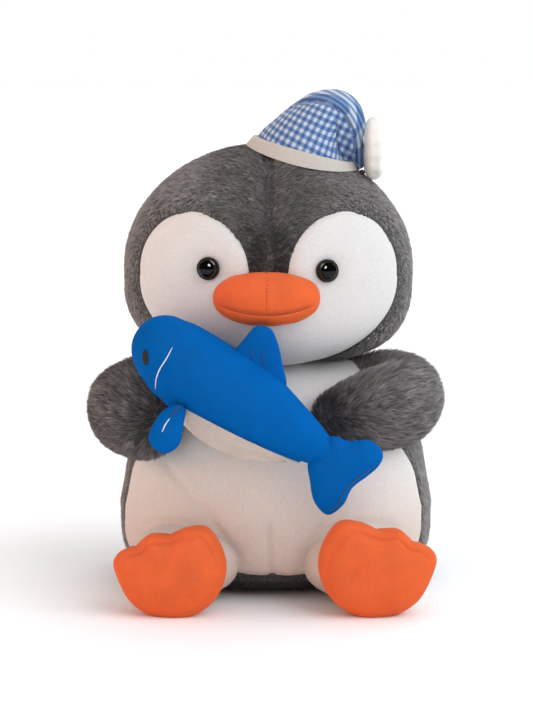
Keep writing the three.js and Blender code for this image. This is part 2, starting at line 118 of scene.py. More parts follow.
WHALE_PATH = ((-65.8, -75, 147), (-50.8, -77, 135.1), (-35.5, -79, 122.2), (-19.7, -81, 110.3),
              (-2.7, -84, 100.6), (14.9, -87, 92.3), (34.4, -89, 83.6))
WHALE_RISE = (27, 25, 24.4, 24.8, 23.8, 20, 15)
WHALE_DEPTH = 0.84
WHALE_SEAM = dict(x=-16, z=95, slope=0.454)
WHALE_EYE = (-63, 134)
WHALE_MOUTH = ((-49, 140), (-52, 134.3), (-55.3, 129), (-57.3, 123.5), (-58, 117.5))
FLIPPER_SLIT = ((-44.2, 110), (-47, 108), (-50.1, 104.8))
FLIPPER_STITCH = ((-50.3, 104.4), (-52.6, 101.5), (-54.1, 98.3))
FIN_SLITS = (((-3.4, 136.4), (-2.9, 132), (-1.6, 128)), ((-7.6, 137), (-8.3, 134.8), (-8.7, 132)))
FLUKE_SEAM = ((55.3, 80), (49.5, 74.8), (42, 69.3), (37.3, 62), (34.2, 56.8), (30, 54.2))
FLUKE_OUTLINE = ((20.5, 3.5), (22.5, 10), (16, 16.5), (5, 16.5), (-4, 19), (-13, 13), (-16.5, 5),
                 (-15.4, -4), (-13, -15.5), (-6, -22.3), (2, -17), (6.5, -8), (14.5, -2))
FIN_OUTLINE = ((12.2, 6), (9.5, 16.5), (6, 23), (-1.5, 24.5), (-8, 17), (-15, 7), (-14, -6), (0, -10),
               (14, -9))
FLIPPER_OUTLINE = ((7.6, 1), (9, 10), (4, 12.6), (-4, 8.5), (-10, -1), (-9, -8), (-2, -12), (5, -8))

FUR_INSET = 2.6   # the skin lies this far inside the outline that the pile reaches
PANEL_INSET = 0.2
PILE = {"head": 4.2, "body": 4.8, "arm": 6.4}
HAIRS_PER_AREA = 3.6
LOCK = 11  # hairs gathered into one lock
PUFF_SCALE = 6    # covers are simulated this much larger, where the cloth solver works best
PUFF_FRAMES = 18
CAMERA_DISTANCE = 1300
CAMERA_RISE = math.radians(9)
CAMERA_TARGET = (-1.1, -15, 123.8)
CAMERA_LENS = 161.7

neck_low, neck_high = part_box("neck_stuffing")
FRAME_SHIFT = np.array((neck_low + neck_high) / 2) - np.array(NECK_CENTRE) * MM


def to_frame(points):
    return np.asarray(points, float) * MM + FRAME_SHIFT


# ---- Surfaces: points, normals and faces held as arrays ----

class Surface:
    def __init__(self, points, faces, normals=None):
        self.points = np.asarray(points, float)
        self.faces = faces
        self.normals = self.find_normals() if normals is None else normals

    def find_normals(self):
        corners = triangles(self.faces)
        a, b, c = (self.points[corners[:, i]] for i in range(3))
        across = np.cross(b - a, c - a)
        total = np.zeros_like(self.points)
        for i in range(3):
            np.add.at(total, corners[:, i], across)
        return unit(total)

    def pushed(self, amount):
        amount = np.broadcast_to(amount, len(self.points))
        return Surface(self.points + self.normals * amount[:, None], self.faces)

    def moved(self, change):
        return Surface(change(self.points), self.faces)

    def kept(self, value):
        """The part where value is above zero, cut cleanly along the line where it is zero."""
        points, normals, made = list(self.points), list(self.normals), {}

        def crossing(a, b):
            key = (min(a, b), max(a, b))
            if key not in made:
                share = value[key[0]] / (value[key[0]] - value[key[1]])
                made[key] = len(points)
                points.append(points[key[0]] * (1 - share) + points[key[1]] * share)
                normals.append(normals[key[0]] * (1 - share) + normals[key[1]] * share)
            return made[key]

        inside = value > 0
        faces = []
        for face in self.faces:
            if all(inside[corner] for corner in face):
                faces.append(tuple(face))
                continue
            if not any(inside[corner] for corner in face):
                continue
            ring = []
            for i, corner in enumerate(face):
                after = face[(i + 1) % len(face)]
                if inside[corner]:
                    ring.append(corner)
                if inside[corner] != inside[after]:
                    ring.append(crossing(corner, after))
            faces.append(tuple(ring))
        used = np.unique([corner for face in faces for corner in face])
        fresh = {old: new for new, old in enumerate(used)}
        faces = [tuple(fresh[corner] for corner in face) for face in faces]
        return Surface(np.array(points)[used], faces, unit(np.array(normals)[used]))

    def tree(self):
        return BVHTree.FromPolygons([Vector(point) for point in self.points], [tuple(f) for f in self.faces])


def unit(vectors):
    length = np.linalg.norm(vectors, axis=-1, keepdims=True)
    return vectors / np.maximum(length, 1e-9)


def triangles(faces):
    return np.array([(face[0], face[i], face[i + 1]) for face in faces for i in range(1, len(face) - 1)])


def ball_grid(divisions):
    """A unit ball of near-square faces, spread evenly: points and four-sided faces."""
    line = np.tan(np.linspace(-math.pi / 4, math.pi / 4, divisions + 1))
    u, v = np.meshgrid(line, line, indexing="ij")
    one = np.ones_like(u)
    sides = [(one, u, v), (-one, v, u), (v, one, u), (u, -one, v), (u, v, one), (v, u, -one)]
    points = np.concatenate([np.stack(side, axis=-1).reshape(-1, 3) for side in sides])
    cell = np.arange(divisions)
    first = (cell[:, None] * (divisions + 1) + cell).ravel()
    quad = np.stack([first, first + divisions + 1, first + divisions + 2, first + 1], axis=1)
    faces = np.concatenate([quad + side * (divisions + 1) ** 2 for side in range(len(sides))])
    _, index, inverse = np.unique(np.round(points, 5), axis=0, return_index=True, return_inverse=True)
    return unit(points[index]), inverse.ravel()[faces]


def on_ball(divisions, form):
    """The surface that form makes of a unit ball's points."""
    ball, faces = ball_grid(divisions)
    return Surface(form(ball), faces)


def tube_grid(along, around):
    """Shares along and round a tube, open at both ends: two flat arrays and four-sided faces."""
    row, column = np.meshgrid(np.arange(along + 1), np.arange(around), indexing="ij")
    after = (column + 1) % around
    here = row * around
    faces = np.stack([here + column, here + after, here + around + after, here + around + column], axis=-1)
    return (row / along).ravel(), (column / around).ravel(), faces[:-1].reshape(-1, 4)


def spline(points, share):
    """A smooth curve through evenly spaced points, at shares from 0 to 1 of the way."""
    points = np.asarray(points, float)
    flat = points.ndim == 1
    if flat:
        points = points[:, None]
    padded = np.vstack([2 * points[0] - points[1], points, 2 * points[-1] - points[-2]])
    return eased(padded, np.clip(share, 0, 1) * (len(points) - 1), len(points) - 2, flat)


def heading(points, share):
    """The direction of a spline at shares of its way."""
    step = 0.01
    return unit(spline(points, np.minimum(share + step, 1)) - spline(points, np.maximum(share - step, 0)))


def closed_spline(points, share):
    points = np.asarray(points, float)
    padded = np.vstack([points[-1:], points, points[:2]])
    return eased(padded, (share % 1) * len(points), len(points) - 1, False)


def eased(padded, place, last, flat):
    start = np.minimum(place.astype(int), last)
    f = (place - start)[:, None]
    a, b, c, d = (padded[start + i] for i in range(4))
    bend = 2 * a - 5 * b + 4 * c - d
    twist = 3 * b - a - 3 * c + d
    curve = 0.5 * (2 * b + (c - a) * f + bend * f ** 2 + twist * f ** 3)
    return curve[:, 0] if flat else curve


def lumps(points, size, seed, waves=7):
    """Smooth random values between about -1 and 1, with lumps of about the given size."""
    rng = np.random.default_rng(seed)
    total = np.zeros(len(points))
    for _ in range(waves):
        direction = rng.normal(size=3)
        direction *= rng.uniform(0.7, 1.4) / np.linalg.norm(direction)
        total += np.sin(points @ direction * (math.pi / size) + rng.uniform(0, 2 * math.pi))
    return total / math.sqrt(waves * 2)


def fade(value, start, end):
    """0 up to start, 1 from end on, and smooth between."""
    share = np.clip((value - start) / (end - start), 0, 1)
    return share * share * (3 - 2 * share)


def ridge(distance, width):
    """1 where distance is zero, falling away over width on both sides."""
    return np.exp(-(distance / width) ** 2)


# ---- Round stuffed forms ----

def round_form(ball, form, inset=0.0):
    x, y, z = ball.T
    power = np.where(z < 0, form["base_power"], form["top_power"])
    reach = (np.hypot(x, y) ** power + np.abs(z) ** power) ** (-1 / power)
    depth = np.where(y < 0, form["front"], form["back"]) - inset
    height = np.where(z < 0, form["down"], form["up"]) - inset
    sizes = np.stack([np.full(len(x), form["width"] / 2 - inset), depth, height], axis=1)
    return ball * reach[:, None] * sizes + form["centre"]


def head_form(ball, inset=0.0):
    points = round_form(ball, HEAD, inset) - HEAD["centre"]
    turn_x = points[:, 0] * math.cos(HEAD_ROLL) + points[:, 2] * math.sin(HEAD_ROLL)
    turn_z = points[:, 2] * math.cos(HEAD_ROLL) - points[:, 0] * math.sin(HEAD_ROLL)
    return np.stack([turn_x, points[:, 1], turn_z], axis=1) + HEAD["centre"]


def torso_form(ball, inset=0.0):
    points = round_form(ball, TORSO, inset)
    rise = np.clip((points[:, 2] - TORSO["centre"][2]) / TORSO["up"], 0, 1)
    points[:, 0] = TORSO["centre"][0] + (points[:, 0] - TORSO["centre"][0]) * (1 - WAIST * rise * (1 - rise))
    points[:, 1] *= np.where(points[:, 1] < 0, 1 - CHEST_SLOPE * rise, 1)
    points[:, 2] = np.maximum(points[:, 2], inset)
    return points


def limb_form(ball, path, half_width, half_height, inset=0.0, fullness=3):
    polar = np.clip(ball[:, 1], -1, 1)
    along = (1 - polar) / 2
    around = np.arctan2(ball[:, 2], ball[:, 0])
    ring = (1 - np.abs(polar) ** fullness) ** (1 / fullness)
    tangent = heading(path, along)
    side = unit(np.cross(tangent, (0, 0, 1)))
    rise = np.cross(side, tangent)
    wide = np.cos(around) * ring * (spline(half_width, along) - inset)
    tall = np.sin(around) * ring * (spline(half_height, along) - inset)
    centre = spline(path, along) + tangent * (inset * (1 - 2 * along))[:, None]
    return centre - side * wide[:, None] + rise * tall[:, None]


def cushion_form(ball, outline, thickness, power):
    """A stuffed shape with a drawn outline in x and z, and rounded faces along y."""
    share = np.arctan2(ball[:, 2], ball[:, 0]) / (2 * math.pi)
    across = np.hypot(ball[:, 0], ball[:, 2])
    reach = (across ** power + np.abs(ball[:, 1]) ** power) ** (-1 / power)
    edge = closed_spline(outline, share) * (across * reach)[:, None]
    return np.stack([edge[:, 0], ball[:, 1] * reach * thickness / 2, edge[:, 1]], axis=1)


def face_distance(points):
    """How far inside the white of the face a point is, in mm; below zero outside it."""
    x, _, z = points.T
    half_lobe = FACE["lobe_width"] / 2
    lobe = np.hypot((np.abs(x) - FACE["lobe_x"]) / half_lobe, (z - FACE["lobe_z"]) * 2 / FACE["lobe_height"])
    chin = np.hypot(x * 2 / FACE["chin_width"], (z - FACE["chin_z"]) / FACE["chin_depth"])
    chin_inside = np.minimum((1 - chin) * FACE["chin_depth"] * 1.15, FACE["chin_z"] - z)
    return np.where(points[:, 1] < 0, np.maximum((1 - lobe) * half_lobe * 1.05, chin_inside), -50)


def belly_distance(points):
    """How far inside the white of the belly a point is, in mm: it is cut by an arc each side and a hem."""
    x, y, z = points.T
    edge = BELLY_EDGE_Y - 9 * fade(z, 58, 84) - 5 * fade(-z, -30, -12) + 6 * fade(-x, 20, 60)
    edge = edge + BELLY_TOP_BACK * fade(z, 96, 110) * fade(-np.abs(x), -58, -44)
    return np.minimum(edge - y, (z - BELLY_HEM_Z) * 1.2 + 2.5 * fade(np.abs(x), 10, 40))


def inward(distance, points):
    """The direction across the surface's front in which a distance grows fastest."""
    step = np.array((0.5, 0, 0))
    lift = np.array((0, 0, 0.5))
    back = np.array((0, 0.5, 0))
    grown = [distance(points + move) - distance(points - move) for move in (step, back, lift)]
    return unit(np.stack(grown, axis=1))


# ---- Materials ----

def add_node(tree, kind, sockets=None, **settings):
    """A shader node with its settings made and its sockets set, or linked to another node's output."""
    node = tree.nodes.new(f"ShaderNode{kind}")
    for setting, value in settings.items():
        setattr(node, setting, value)
    for socket, value in (sockets or {}).items():
        if isinstance(value, bpy.types.NodeSocket):
            tree.links.new(value, node.inputs[socket])
        else:
            node.inputs[socket].default_value = value
    return node


def node_material(name, colour, roughness, sheen=0.0, sheen_tint=(1, 1, 1), specular=0.3):
    material = bpy.data.materials.new(name)
    material.use_nodes = True
    shader = material.node_tree.nodes["Principled BSDF"]
    finish = {"Base Color": (*colour, 1), "Roughness": roughness, "Specular IOR Level": specular,
              "Sheen Weight": sheen, "Sheen Roughness": 0.45, "Sheen Tint": (*sheen_tint, 1)}
    for socket, value in finish.items():
        shader.inputs[socket].default_value = value
    return material, material.node_tree, shader


def noise_node(tree, size, detail, seed=0.0):
    """Noise in the object's own space, its lumps about size millimetres across."""
    place = add_node(tree, "TexCoord").outputs["Object"]
    moved = add_node(tree, "Mapping", {"Vector": place, "Location": (seed, seed * 2, seed * 3)})
    sockets = {"Vector": moved.outputs["Vector"], "Scale": 1 / (size * MM), "Detail": detail}
    return add_node(tree, "TexNoise", sockets).outputs["Fac"]


def ramp_node(tree, value, stops):
    ramp = add_node(tree, "ValToRGB", {"Fac": value})
    while len(ramp.color_ramp.elements) < len(stops):
        ramp.color_ramp.elements.new(0.5)
    for element, (position, colour) in zip(ramp.color_ramp.elements, stops):
        element.position = position
        element.color = (*colour, 1)
    return ramp.outputs["Color"]


def multiplied(tree, factor, a, b):
    sockets = {"Factor": factor, "A": a, "B": b}
    return add_node(tree, "Mix", sockets, data_type="RGBA", blend_type="MULTIPLY").outputs["Result"]


def bump(tree, shader, height, strength, depth, under=None):
    sockets = {"Height": height, "Strength": strength, "Distance": depth * MM}
    if under:
        sockets["Normal"] = under
    raised = add_node(tree, "Bump", sockets).outputs["Normal"]
    tree.links.new(raised, shader.inputs["Normal"])
    return raised


def shade(colour, factor):
    return tuple(min(1.0, channel * factor) for channel in colour)


def velour(name, colour, roughness=0.85, sheen=0.35, sheen_tint=(1, 1, 1), mottle=0.10, nap=0.5,
           specular=0.3, painted_bounce_glow=None):
    """Short dense pile with a soft mottle, a fine grain, and, where painted_bounce_glow is given, a painted
    warm glow of bounced light near the floor.
    """
    material, tree, shader = node_material(name, colour, roughness, sheen, sheen_tint, specular)
    dark, light = shade(colour, 1 - mottle), shade(colour, 1 + mottle)
    drift = ramp_node(tree, noise_node(tree, 14, 3), [(0.3, dark), (0.7, light)])
    grain = noise_node(tree, 1.1, 4, seed=0.3)
    grain = ramp_node(tree, grain, [(0.35, (0.86, 0.86, 0.86)), (0.65, (1, 1, 1))])
    cloth_colour = multiplied(tree, 0.6, drift, grain)
    # Painted light: a warm glow, as if bounced off the feet, fading out upwards with height in the object.
    if painted_bounce_glow:
        place = add_node(tree, "TexCoord").outputs["Object"]
        parts = add_node(tree, "SeparateXYZ", {"Vector": place})
        stops = [(PAINTED_GLOW_LOW * MM, painted_bounce_glow), (PAINTED_GLOW_HIGH * MM, (1, 1, 1))]
        rise = ramp_node(tree, parts.outputs["Z"], stops)
        cloth_colour = multiplied(tree, 1.0, cloth_colour, rise)
    tree.links.new(cloth_colour, shader.inputs["Base Color"])
    coarse = bump(tree, shader, noise_node(tree, 2.6, 3, seed=0.7), nap * 0.5, 0.35)
    bump(tree, shader, noise_node(tree, 0.7, 3), nap, 0.18, under=coarse)
    return material


def plain(name, colour, roughness, **finish):
    return node_material(name, colour, roughness, **finish)[0]


def gingham():
    """Woven check on the cloth's own layout: blue both ways, one way, or neither, with a plain weave."""
    material, tree, shader = node_material("gingham_cotton", (0.5, 0.65, 0.85), 0.85, sheen=0.15)
    layout = add_node(tree, "UVMap", uv_map="layout").outputs["UV"]
    parts = add_node(tree, "SeparateXYZ", {"Vector": layout})

    def figured(operation, a, b):
        return add_node(tree, "Math", {0: a, 1: b}, operation=operation).outputs[0]

    def stripe(axis, width):
        """1 and 0 in turn across the cloth, each for width millimetres, with a soft edge."""
        wave = figured("PINGPONG", parts.outputs[axis], width)
        sockets = {"Value": wave, "From Min": width * 0.44, "From Max": width * 0.56}
        return add_node(tree, "MapRange", sockets).outputs["Result"]

    crossed = figured("ADD", stripe("X", GINGHAM_CHECK), stripe("Y", GINGHAM_CHECK))
    blues = [(0.0, (0.50, 0.565, 0.66)), (0.5, (0.145, 0.245, 0.43)), (1.0, (0.035, 0.105, 0.30))]
    cloth_colour = ramp_node(tree, figured("MULTIPLY", crossed, 0.5), blues)
    weave = figured("MULTIPLY", stripe("X", THREAD_WIDTH), stripe("Y", THREAD_WIDTH))
    slub = ramp_node(tree, noise_node(tree, 0.5, 3), [(0.3, (0.82, 0.84, 0.88)), (0.7, (1, 1, 1))])
    tree.links.new(multiplied(tree, 0.7, cloth_colour, slub), shader.inputs["Base Color"])
    bump(tree, shader, weave, 0.25, 0.12)
    return material


GREY_TONES = [0.028, 0.07, 0.13, 0.20, 0.28, 0.38]


def fur_tones():
    """Pile colours from dark to light, as separate plain materials; each hair takes one by random tone,
    painted shade and painted side light.
    """
    tones = []
    for number, tone in enumerate(GREY_TONES):
        colour = (tone * 1.05, tone, tone * 1.01)
        tones.append(plain(f"grey_pile_{number}", colour, 0.62, sheen=0.06 + 0.9 * tone, specular=0.2))
    return tones


def skin_cloth():
    material, tree, shader = node_material("fur_backing", (0.06, 0.058, 0.058), 0.95)
    greys = [(0.35, (0.035, 0.033, 0.033)), (0.7, (0.10, 0.095, 0.095))]
    streak = ramp_node(tree, noise_node(tree, 1.5, 4), greys)
    tree.links.new(streak, shader.inputs["Base Color"])
    bump(tree, shader, noise_node(tree, 1.0, 4), 0.8, 0.5)
    return material


WHITE_CLOTH = velour("white_velour", (0.66, 0.655, 0.65), sheen=0.2, mottle=0.02, nap=0.25)
# The belly's white velour, a touch lighter than the face's, with a painted warm glow low down standing in
# for light bounced off the orange feet.
BELLY_CLOTH = velour("belly_velour", (0.71, 0.70, 0.69), sheen=0.2, mottle=0.02, nap=0.25,
                     painted_bounce_glow=(0.80, 0.64, 0.55))
ORANGE_CLOTH = velour("orange_velour", (0.70, 0.104, 0.017), sheen=0.2, sheen_tint=(1, 0.5, 0.25),
                      mottle=0.08)
BLUE_CLOTH = velour("blue_velour", (0.0, 0.102, 0.38), roughness=0.7, sheen=0.03, sheen_tint=(0, 0.4, 1),
                    mottle=0.05, specular=0.02)
WHALE_WHITE = velour("whale_white_velour", (0.54, 0.49, 0.44), sheen=0.25, mottle=0.03)
CREAM_CLOTH = velour("cream_cotton", (0.50, 0.475, 0.44), sheen=0.15, mottle=0.03, nap=0.25)
POMPOM_CLOTH = velour("pompom_plush", (0.82, 0.81, 0.78), sheen=0.3, mottle=0.04)
SKIN = skin_cloth()
GINGHAM = gingham()
FUR_TONES = fur_tones()
EYE_BLACK = plain("eye_pupil", (0.002, 0.002, 0.002), 0.05, specular=0.24)
EYE_RING = plain("eye_rim", (0.022, 0.018, 0.010), 0.2, specular=0.15)
BLACK_THREAD = velour("black_embroidery", (0.006, 0.006, 0.008), roughness=0.7, sheen=0.1, mottle=0.1)
WHITE_THREAD = velour("white_thread", (0.75, 0.78, 0.82), roughness=0.7, mottle=0.05)
DARK_STITCH = velour("rust_stitch", (0.28, 0.035, 0.01), roughness=0.8, mottle=0.1)
SLIT_THREAD = velour("navy_thread", (0.0, 0.036, 0.17), roughness=0.8, mottle=0.1)


# ---- Turning surfaces into pieces ----

def mesh_object(name, points, corners, totals, materials, material_index=None, layout=None):
    """A mesh from its points, the corners of its faces in one row, and each face's number of corners."""
    starts = np.concatenate([[0], np.cumsum(totals)[:-1]])
    mesh = bpy.data.meshes.new(name)
    mesh.vertices.add(len(points))
    mesh.vertices.foreach_set("co", to_frame(points).astype(np.float32).ravel())
    mesh.loops.add(len(corners))
    mesh.loops.foreach_set("vertex_index", np.asarray(corners, np.int32))
    mesh.polygons.add(len(totals))
    mesh.polygons.foreach_set("loop_start", np.asarray(starts, np.int32))
    mesh.polygons.foreach_set("loop_total", np.asarray(totals, np.int32))
    for material in materials:
        mesh.materials.append(material)
    if material_index is not None:
        mesh.polygons.foreach_set("material_index", np.asarray(material_index, np.int32))
    if layout is not None:
        mesh.uv_layers.new(name="layout").data.foreach_set("uv", layout[corners].astype(np.float32).ravel())
    mesh.update(calc_edges=True)
    mesh.validate()
    mesh.polygons.foreach_set("use_smooth", np.ones(len(mesh.polygons), bool))
    shown = bpy.data.objects.new(name, mesh)
    bpy.context.scene.collection.objects.link(shown)
    return shown


def make(name, surface, body, slot, materials, replaces=(), fill=None, **mesh_options):
    """A visible piece from a surface, riding on a body; fill is not used."""
    totals = np.array([len(face) for face in surface.faces])
    corners = np.concatenate([np.asarray(face) for face in surface.faces])
    shown = mesh_object(name, surface.points, corners, totals, materials, **mesh_options)
    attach(shown, body)
    if replaces:
        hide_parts(*replaces)
    return shown


def joined(*surfaces):
    points = np.concatenate([surface.points for surface in surfaces])
    normals = np.concatenate([surface.normals for surface in surfaces])
    faces, base = [], 0
    for surface in surfaces:
        faces += [tuple(corner + base for corner in face) for face in surface.faces]
        base += len(surface.points)
    return Surface(points, faces, normals)


def thread(points, radius):
    """A round thread along a smooth curve, pointed at both ends."""
    along, around, faces = tube_grid(len(points) * 4, 6)
    middle = spline(points, along)
    ahead = heading(points, along)
    side = unit(np.cross(ahead, (0.3, 1, 0.2)))
    rise = np.cross(side, ahead)
    size = (radius * np.sin(np.clip(along, 0.02, 0.98) * math.pi) ** 0.35)[:, None]
    turn = (around * 2 * math.pi)[:, None]
    return Surface(middle + (side * np.cos(turn) + rise * np.sin(turn)) * size, faces[:, ::-1])


def front_hit(tree, x, z, facing=-1):
    """Where a line from the front, or with facing 1 from behind, meets a surface, and the normal there."""
    hit, normal, _, _ = tree.ray_cast(Vector((x, facing * 150, z)), Vector((0, -facing, 0)))
    return None if hit is None else (np.array(hit), np.array(normal))


def laid_on(tree, spots, lift, facing=-1):
    """Points above a surface where spots in x and z fall on it, seen from the front or from behind."""
    hits = [front_hit(tree, x, z, facing) for x, z in spots]
    return [hit[0] + hit[1] * lift for hit in hits if hit]


def dab(centre, sizes, facing=None, divisions=6):
    """A small rounded blob, its second size along facing."""
    ball, faces = ball_grid(divisions)
    sized = ball * sizes
    if facing is not None:
        ahead = unit(np.asarray(facing, float))
        side = unit(np.cross(ahead, (0, 0, 1)))
        rise = np.cross(side, ahead)
        sized = sized[:, :1] * side + sized[:, 1:2] * ahead + sized[:, 2:] * rise
    return Surface(sized + centre, faces)


# ---- Stuffed cloth by simulation ----

def puffed(surface, held, growth, most):
    """The cover filled by cloth simulation: a little too large for its seams, it puckers beside them.

    Points marked held are the seams and stay where they are, and no point moves further than most.
    """
    scale = PUFF_SCALE * MM
    mesh = bpy.data.meshes.new("cover")
    faces = [[int(corner) for corner in face] for face in surface.faces]
    mesh.from_pydata((surface.points * scale).tolist(), [], faces)
    cover = bpy.data.objects.new("cover", mesh)
    bpy.context.scene.collection.objects.link(cover)
    seam = cover.vertex_groups.new(name="seam")
    seam.add([int(number) for number in np.nonzero(held)[0]], 1.0, "REPLACE")
    cloth = cover.modifiers.new("cloth", "CLOTH")
    cloth.settings.quality = 5
    cloth.settings.vertex_group_mass = seam.name
    cloth.settings.use_pressure = True
    cloth.settings.uniform_pressure_force = 4
    cloth.settings.effector_weights.gravity = 0
    cloth.settings.shrink_min = -growth
    cloth.collision_settings.use_collision = False
    cloth.point_cache.frame_end = PUFF_FRAMES
    for moment in range(1, PUFF_FRAMES + 1):
        bpy.context.scene.frame_set(moment)
    settled = cover.evaluated_get(bpy.context.evaluated_depsgraph_get()).data
    moved = np.array([vertex.co for vertex in settled.vertices]) / scale - surface.points
    bpy.data.objects.remove(cover)
    bpy.data.meshes.remove(mesh)
    bpy.context.scene.frame_set(1)
    far = np.linalg.norm(moved, axis=1, keepdims=True)
    return Surface(surface.points + moved * np.minimum(1, most / np.maximum(far, 1e-6)), surface.faces)


# ---- Fur: every hair is a narrow tapering blade ----

def scattered(surface, rng):
    """Random points spread evenly over a surface, and the normals there."""
    corners = triangles(surface.faces)
    a, b, c = (surface.points[corners[:, i]] for i in range(3))
    area = np.linalg.norm(np.cross(b - a, c - a), axis=1) / 2
    count = int(area.sum() * HAIRS_PER_AREA)
    chosen = rng.choice(len(corners), size=count, p=area / area.sum())
    u, v = rng.random(count), rng.random(count)
    flip = u + v > 1
    u, v = np.where(flip, 1 - u, u), np.where(flip, 1 - v, v)
    weights = np.stack([1 - u - v, u, v], axis=1)
    points = sum(weights[:, i:i + 1] * surface.points[corners[chosen, i]] for i in range(3))
    normals = sum(weights[:, i:i + 1] * surface.normals[corners[chosen, i]] for i in range(3))
    return points, unit(normals)


def nearest(points, seeds):
    """The number of the seed that lies nearest to each point."""
    tree = KDTree(len(seeds))
    for number, seed in enumerate(seeds):
        tree.insert(seed, number)
    tree.balance()
    return np.array([tree.find(point)[1] for point in points])


def fur(name, surface, body, keep, flow, length, seed, parts, shade_by, white=None, gather=0.45,
        contrast=1.0):
    """Hairs on a skin where keep allows, lying along flow and gathered into small locks.

    Beside the white panels, where the distance called white nears zero, they are short and lean over.
    """
    rng = np.random.default_rng(seed)
    roots, normals = scattered(surface, rng)
    allowed = keep(roots)
    roots, normals = roots[allowed], normals[allowed]
    count = len(roots)

    lie = flow(roots)
    beside = np.zeros(count)
    if white is not None:
        beside = ridge(np.minimum(white(roots), 0), 3.2)
        lie = unit(lie) + inward(white, roots) * (1.6 * beside)[:, None]
    lie = unit(lie - normals * np.sum(lie * normals, axis=1, keepdims=True))
    swirl = lumps(roots, 26, seed + 5) * 0.22 + lumps(roots, 7, seed + 6) * 0.16 + rng.normal(0, 0.16, count)
    swirl = swirl[:, None]
    lie = lie * np.cos(swirl) + np.cross(normals, lie) * np.sin(swirl)

    lock = np.arange(0, count, LOCK)
    member = lock[nearest(roots, roots[lock])]
    long = length * rng.uniform(0.72, 1.08, count) * (1 + 0.08 * lumps(roots, 12, seed + 7))
    long = (long * (1 - 0.45 * beside))[:, None]
    rise = rng.uniform(0.55, 1.0, count)[:, None]
    settle = rng.uniform(0.10, 0.34, count)[:, None]
    root = roots - normals * 0.7
    middle = root + long * 0.45 * (normals * np.sin(rise) + lie * np.cos(rise))
    tip = middle + long * 0.55 * (normals * np.sin(settle) + lie * np.cos(settle))
    lock_tip = roots[member] + (tip - root)[member] * rng.uniform(0.85, 1.1, count)[:, None]
    tip += (lock_tip - tip) * gather
    middle += (lock_tip - tip) * 0.12

    roll = rng.normal(0, 0.55, count)[:, None]
    across = unit(np.cross(tip - root, normals))
    across = across * np.cos(roll) + normals * np.sin(roll)
    half = rng.uniform(0.10, 0.17, count)[:, None]
    blades = np.stack([root - across * half, root + across * half, middle - across * half * 0.85,
                       middle + across * half * 0.85, tip], axis=1)

    tone = rng.normal(0, 0.6, count) + rng.normal(0, 0.42, count)[member] + lumps(roots, 9, seed + 8) * 0.3
    # Painted light: hairs further from x = 0 take lighter tones, standing in for the light on the flanks.
    tone = tone * contrast + 2.2 * fade(np.abs(roots[:, 0]), 12, 52)
    tone += shade_by(roots)
    level = np.clip(np.round(2.2 + tone), 0, len(FUR_TONES) - 1).astype(int)
    for part in range(parts):
        some = slice(part, None, parts)
        amount = len(blades[some])
        base = np.arange(amount)[:, None] * 5
        corners = (base + np.array([0, 1, 3, 2, 2, 3, 4])).ravel()
        shown = mesh_object(f"{name}_pile_{part + 1}", blades[some].reshape(-1, 3), corners,
                            np.tile([4, 3], amount), FUR_TONES, np.repeat(level[some], 2))
        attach(shown, body)


# ---- Camera, floor and lights ----

def add_camera():
    lens = bpy.data.cameras.new("view")
    lens.sensor_fit = "HORIZONTAL"
    lens.sensor_width = 36
    lens.lens = CAMERA_LENS
    camera = bpy.data.objects.new("view", lens)
    bpy.context.scene.collection.objects.link(camera)
    target = Vector(to_frame(CAMERA_TARGET))
    away = Vector((0, -math.cos(CAMERA_RISE), math.sin(CAMERA_RISE))) * CAMERA_DISTANCE * MM
    camera.location = target + away
    camera.rotation_euler = (-away).to_track_quat("-Z", "Y").to_euler()
    bpy.context.scene.camera = camera


def add_floor():
    size = 6.0
    points = np.array([(-size, -size, 0), (size, -size, 0), (size, size, 0), (-size, size, 0)]) / MM
    points[:, 2] = 0
    material, tree, shader = node_material("floor_paper", (0.94, 0.96, 0.98), 0.9, specular=0.1)
    papers = [(0.3, (0.93, 0.955, 0.975)), (0.7, (0.945, 0.97, 0.99))]
    tree.links.new(ramp_node(tree, noise_node(tree, 60, 3), papers), shader.inputs["Base Color"])
    floor = mesh_object("floor", points - FRAME_SHIFT / MM * (0, 0, 1), [0, 1, 2, 3], [4], [material])


def add_light(name, direction, spread, strength, colour, seen_in_gloss=False, lights_cloth=True):
    """A soft, far light that shines from the direction given, spread over an angle in degrees."""
    lamp = bpy.data.lights.new(name, "SUN")
    lamp.angle = math.radians(spread)
    lamp.energy = strength
    lamp.color = colour
    light = bpy.data.objects.new(name, lamp)
    light.location = Vector(direction)
    light.rotation_euler = Vector(direction).to_track_quat("Z", "Y").to_euler()
    light.visible_glossy = seen_in_gloss
    light.visible_diffuse = lights_cloth
    bpy.context.scene.collection.objects.link(light)


def add_world():
    """A soft even fill; the camera sees it white, and gloss sees it nearly dark."""
    world = bpy.data.worlds.new("studio")
    world.use_nodes = True
    tree = world.node_tree
    seen = tree.nodes["Background"]
    seen.inputs["Color"].default_value = (1, 1, 1, 1)
    seen.inputs["Strength"].default_value = 1.0
    bpy.context.scene.world = world
    lit = add_node(tree, "Background", {"Color": (0.97, 0.98, 1, 1), "Strength": 0.57}).outputs[0]
    dim = add_node(tree, "Background", {"Strength": 0.05})
    ray = add_node(tree, "LightPath")
    for case, other in (("Is Glossy Ray", dim), ("Is Camera Ray", seen)):
        lit = add_node(tree, "MixShader", {0: ray.outputs[case], 1: lit, 2: other.outputs[0]}).outputs[0]
    tree.links.new(lit, tree.nodes["World Output"].inputs["Surface"])


